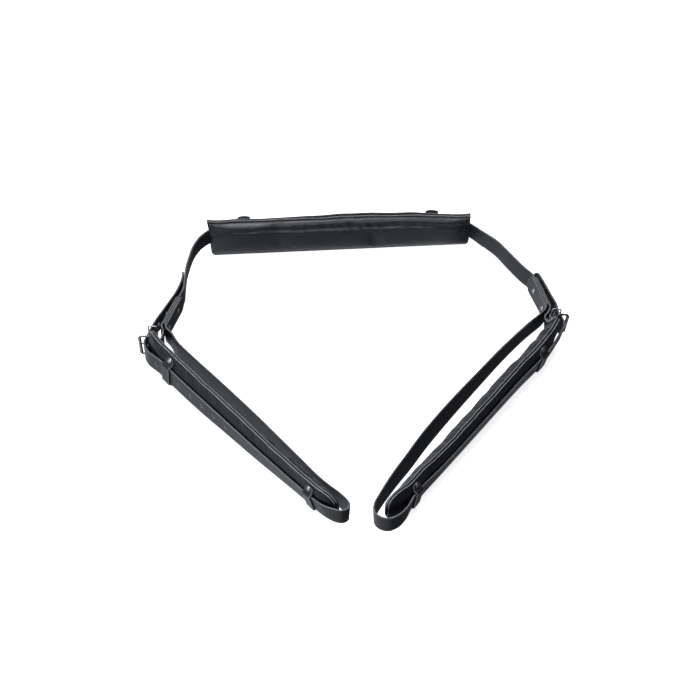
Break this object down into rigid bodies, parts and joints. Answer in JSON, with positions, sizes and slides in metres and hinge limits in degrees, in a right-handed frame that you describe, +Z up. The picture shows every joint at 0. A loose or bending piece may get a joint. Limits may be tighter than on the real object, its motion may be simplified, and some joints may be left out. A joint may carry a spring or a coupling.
{
  "type": "accordion shoulder strap harness",
  "caption": "Padded leather shoulder harness for an accordion: two buckled loops with sliding shoulder pads, joined behind by a padded back strap.",
  "frame": {"origin": "middle of the harness in plan, on the surface it stands on", "axes": "+X to the right of the harness, +Y towards the back strap, +Z up"},
  "size_m": [0.6047, 0.7247, 0.0562],
  "materials": {
    "strap_leather": "semi-matt black",
    "pad_leather": "soft semi-matt black",
    "foam": "open-cell foam, hidden",
    "dark_nickel": "polished dark nickel plate"
  },
  "bodies": {
    "straps": {"back_strap": "strap_leather", "right_long_strap": "strap_leather", "right_buckle_strap": "strap_leather", "right_joint_rivet_lower": "dark_nickel", "right_joint_rivet_upper": "dark_nickel", "left_long_strap": "strap_leather", "left_buckle_strap": "strap_leather", "left_joint_rivet_lower": "dark_nickel", "left_joint_rivet_upper": "dark_nickel"},
    "back_pad": {"back_pad_outer_panel": "pad_leather", "back_pad_body_panel": "pad_leather", "back_pad_foam": "foam", "back_pad_keeper_left": "strap_leather", "back_pad_keeper_left_rivet_lower": "dark_nickel", "back_pad_keeper_left_rivet_upper": "dark_nickel", "back_pad_keeper_right": "strap_leather", "back_pad_keeper_right_rivet_lower": "dark_nickel", "back_pad_keeper_right_rivet_upper": "dark_nickel"},
    "right_pad": {"right_pad_outer_panel": "pad_leather", "right_pad_body_panel": "pad_leather", "right_pad_foam": "foam", "right_pad_keeper_lower": "strap_leather", "right_pad_keeper_lower_rivet_lower": "dark_nickel", "right_pad_keeper_lower_rivet_upper": "dark_nickel", "right_pad_keeper_upper": "strap_leather", "right_pad_keeper_upper_rivet_lower": "dark_nickel", "right_pad_keeper_upper_rivet_upper": "dark_nickel"},
    "right_buckle_frame": {"right_buckle_frame": "dark_nickel"},
    "right_buckle_roller": {"right_buckle_roller": "dark_nickel"},
    "right_buckle_prong": {"right_buckle_prong": "dark_nickel"},
    "right_strap_ring": {"right_strap_ring": "dark_nickel"},
    "left_pad": {"left_pad_outer_panel": "pad_leather", "left_pad_body_panel": "pad_leather", "left_pad_foam": "foam", "left_pad_keeper_lower": "strap_leather", "left_pad_keeper_lower_rivet_lower": "dark_nickel", "left_pad_keeper_lower_rivet_upper": "dark_nickel", "left_pad_keeper_upper": "strap_leather", "left_pad_keeper_upper_rivet_lower": "dark_nickel", "left_pad_keeper_upper_rivet_upper": "dark_nickel"},
    "left_buckle_frame": {"left_buckle_frame": "dark_nickel"},
    "left_buckle_roller": {"left_buckle_roller": "dark_nickel"},
    "left_buckle_prong": {"left_buckle_prong": "dark_nickel"},
    "left_strap_ring": {"left_strap_ring": "dark_nickel"}
  },
  "joints": [
    {"name": "back_pad_slide", "type": "slide", "parent": "straps", "child": "back_pad", "axis": [0.9979, 0.0654, 0.0003], "range_m": [-0.004, 0.004]},
    {"name": "right_pad_slide", "type": "slide", "parent": "straps", "child": "right_pad", "axis": [0.4636, 0.8861, -0.002], "range_m": [-0.004, 0.004]},
    {"name": "right_buckle_swing", "type": "hinge", "parent": "straps", "child": "right_buckle_frame", "pos_m": [0.28295, 0.12501, 0.02094], "axis": [0.2659, 0.0709, 0.9614], "range_deg": [-6, 3]},
    {"name": "right_prong_lift", "type": "hinge", "parent": "right_buckle_frame", "child": "right_buckle_prong", "pos_m": [0.28295, 0.12501, 0.02094], "axis": [0.2659, 0.0709, 0.9614], "range_deg": [0, 4]},
    {"name": "right_roller_spin", "type": "hinge", "parent": "right_buckle_frame", "child": "right_buckle_roller", "pos_m": [0.2962, 0.1283, 0.01703], "axis": [0.2659, 0.0709, 0.9614], "continuous": true},
    {"name": "right_ring_slide", "type": "slide", "parent": "straps", "child": "right_strap_ring", "axis": [-0.1811, 0.9834, -0.0071], "range_m": [-0.004, 0]},
    {"name": "left_pad_slide", "type": "slide", "parent": "straps", "child": "left_pad", "axis": [-0.5485, 0.8361, 0.0025], "range_m": [-0.004, 0.004]},
    {"name": "left_buckle_swing", "type": "hinge", "parent": "straps", "child": "left_buckle_frame", "pos_m": [-0.28483, 0.07061, 0.02107], "axis": [-0.1356, 0.0315, 0.9903], "range_deg": [-3, 6]},
    {"name": "left_prong_lift", "type": "hinge", "parent": "left_buckle_frame", "child": "left_buckle_prong", "pos_m": [-0.28483, 0.07061, 0.02107], "axis": [0.1356, -0.0315, -0.9903], "range_deg": [0, 4]},
    {"name": "left_roller_spin", "type": "hinge", "parent": "left_buckle_frame", "child": "left_buckle_roller", "pos_m": [-0.2986, 0.07346, 0.01909], "axis": [-0.1356, 0.0315, 0.9903], "continuous": true},
    {"name": "left_ring_slide", "type": "slide", "parent": "straps", "child": "left_strap_ring", "axis": [0.2236, 0.9747, -0.001], "range_m": [-0.004, 0.004]}
  ]
}
